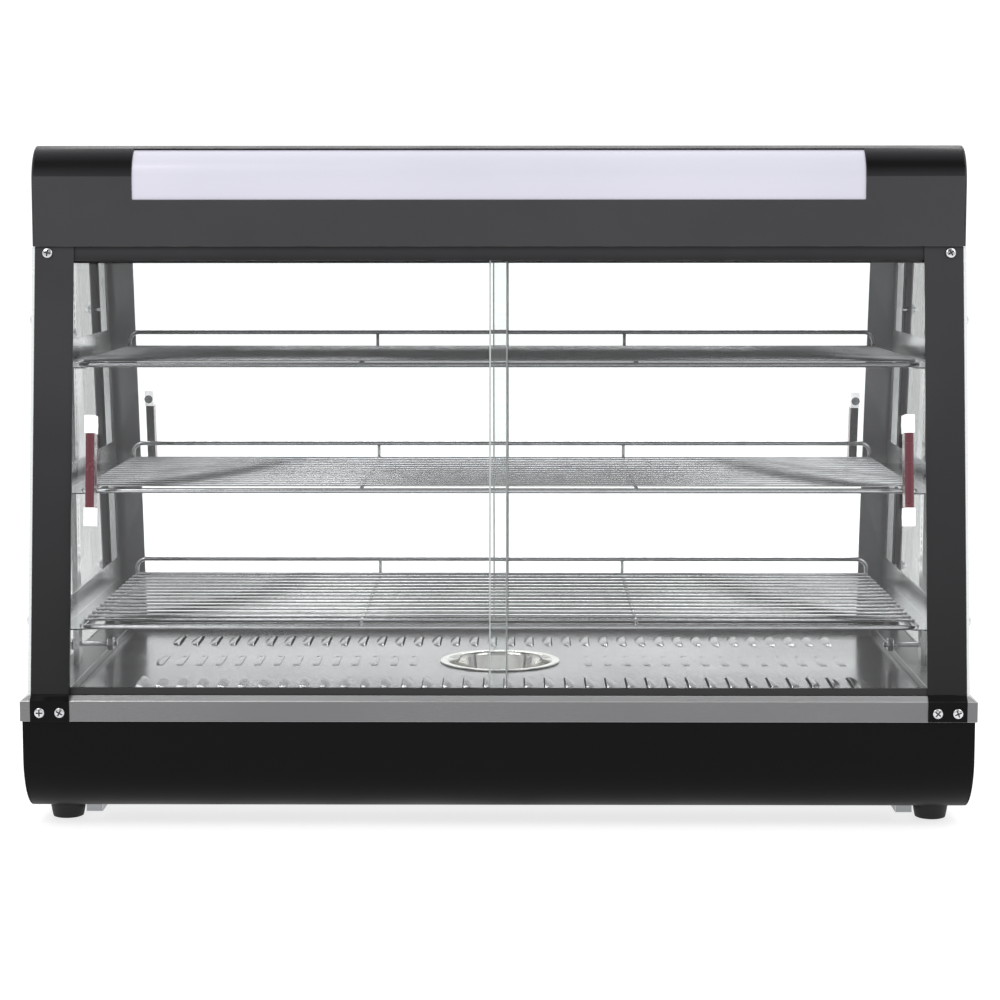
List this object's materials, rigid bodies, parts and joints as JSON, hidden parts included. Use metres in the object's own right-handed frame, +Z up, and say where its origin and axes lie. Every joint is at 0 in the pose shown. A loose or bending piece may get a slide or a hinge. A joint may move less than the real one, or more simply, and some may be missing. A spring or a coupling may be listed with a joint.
{
  "type": "hot food display case",
  "caption": "Countertop heated display case with raked glazing, sliding glass doors front and rear, wire shelves, louvred warm floor, water pan and a lit sign hood.",
  "frame": {"origin": "middle of the footprint at the underside of the feet", "axes": "+X to the right along the width, +Y from the customer side towards the operator side, +Z up"},
  "size_m": [0.905, 0.48, 0.65],
  "materials": {
    "painted_black": "satin black powder coat",
    "stainless": "satin stainless steel",
    "galvanised": "zinc coated sheet",
    "element_sheath": "heat-darkened alloy sheath",
    "ceramic": "unglazed steatite",
    "wire_sleeve": "heat resistant sleeve",
    "switch_metal": "pressed case",
    "copper": "bare copper capillary",
    "black_plastic": "moulded black plastic",
    "red_plastic": "translucent red rocker",
    "green_plastic": "translucent green rocker",
    "amber_lens": "amber lens",
    "chrome": "bright plated",
    "needle_red": "painted needle",
    "clear_glass": "clear tempered glass",
    "rubber": "moulded rubber",
    "lit_acrylic": "white diffusing acrylic",
    "lamp_glass": "white tube",
    "white_plastic": "white moulded plastic",
    "maroon_grip": "maroon moulded grip"
  },
  "bodies": {
    "case": {"base_front_panel": "painted_black", "base_end_panels": "painted_black", "bottom_plate": "galvanised", "rear_panel": "painted_black", "control_tray": "painted_black", "deck_frame": "stainless", "chamber_floor": "stainless", "heat_box": "galvanised", "heating_elements": "element_sheath", "terminal_block": "ceramic", "wiring_loom": "wire_sleeve", "thermostat_body": "switch_metal", "thermostat_bulb": "copper", "rocker_housings": "black_plastic", "indicator_lamp": "amber_lens", "thermometer_case": "chrome", "thermometer_lens": "clear_glass", "cable_gland": "black_plastic", "rubber_feet": "rubber", "underside_brackets": "galvanised", "case_screws": "chrome", "front_post_left": "painted_black", "front_post_right": "painted_black", "rear_post_left": "painted_black", "rear_post_right": "painted_black", "front_head_rail": "painted_black", "rear_head_rail": "painted_black", "front_lower_track": "black_plastic", "rear_lower_track": "black_plastic", "side_glass_left": "clear_glass", "side_glass_right": "clear_glass", "side_fixings": "chrome", "hood_shell": "painted_black", "hood_ends": "painted_black", "ceiling_panel": "stainless", "light_panel": "lit_acrylic", "lamp_tube": "lamp_glass", "lamp_holders": "white_plastic", "shelf_standards": "stainless", "shelf_rails": "stainless"},
    "front_door_left_body": {"front_door_left": "clear_glass", "front_left_grip": "maroon_grip", "front_left_handle_ends": "white_plastic"},
    "front_door_right_body": {"front_door_right": "clear_glass", "front_right_grip": "maroon_grip", "front_right_handle_ends": "white_plastic"},
    "rear_door_left_body": {"rear_door_left": "clear_glass", "rear_left_grip": "maroon_grip", "rear_left_handle_ends": "white_plastic"},
    "rear_door_right_body": {"rear_door_right": "clear_glass", "rear_right_grip": "maroon_grip", "rear_right_handle_ends": "white_plastic"},
    "top_shelf_body": {"top_shelf": "chrome"},
    "middle_shelf_body": {"middle_shelf": "chrome"},
    "bottom_shelf_body": {"bottom_shelf": "chrome"},
    "water_pan_body": {"water_pan": "stainless"},
    "knob_body": {"thermostat_knob": "black_plastic"},
    "heat_rocker_body": {"heat_rocker": "red_plastic"},
    "light_rocker_body": {"light_rocker": "green_plastic"},
    "needle_body": {"thermometer_needle": "needle_red"}
  },
  "joints": [
    {"name": "front_door_left_slide", "type": "slide", "parent": "case", "child": "front_door_left_body", "axis": [1, 0, 0], "range_m": [0, 0.37]},
    {"name": "front_door_right_slide", "type": "slide", "parent": "case", "child": "front_door_right_body", "axis": [1, 0, 0], "range_m": [-0.37, 0]},
    {"name": "rear_door_left_slide", "type": "slide", "parent": "case", "child": "rear_door_left_body", "axis": [1, 0, 0], "range_m": [0, 0.37]},
    {"name": "rear_door_right_slide", "type": "slide", "parent": "case", "child": "rear_door_right_body", "axis": [1, 0, 0], "range_m": [-0.37, 0]},
    {"name": "top_shelf_lift", "type": "slide", "parent": "case", "child": "top_shelf_body", "axis": [0, 0, 1], "range_m": [0, 0.03]},
    {"name": "middle_shelf_lift", "type": "slide", "parent": "case", "child": "middle_shelf_body", "axis": [0, 0, 1], "range_m": [0, 0.03]},
    {"name": "bottom_shelf_lift", "type": "slide", "parent": "case", "child": "bottom_shelf_body", "axis": [0, 0, 1], "range_m": [0, 0.03]},
    {"name": "water_pan_lift", "type": "slide", "parent": "case", "child": "water_pan_body", "axis": [0, 0, 1], "range_m": [0, 0.05]},
    {"name": "thermostat_turn", "type": "hinge", "parent": "case", "child": "knob_body", "pos_m": [-0.3, 0.213, 0.064], "axis": [0, -1, 0], "range_deg": [0, 270]},
    {"name": "heat_rocker_tip", "type": "hinge", "parent": "case", "child": "heat_rocker_body", "pos_m": [-0.21, 0.207, 0.064], "axis": [1, 0, 0], "range_deg": [-16.5, 0]},
    {"name": "light_rocker_tip", "type": "hinge", "parent": "case", "child": "light_rocker_body", "pos_m": [-0.165, 0.207, 0.064], "axis": [1, 0, 0], "range_deg": [-16.5, 0]},
    {"name": "thermometer_turn", "type": "hinge", "parent": "case", "child": "needle_body", "pos_m": [-0.365, 0.208, 0.064], "axis": [0, -1, 0], "range_deg": [0, 270]}
  ]
}
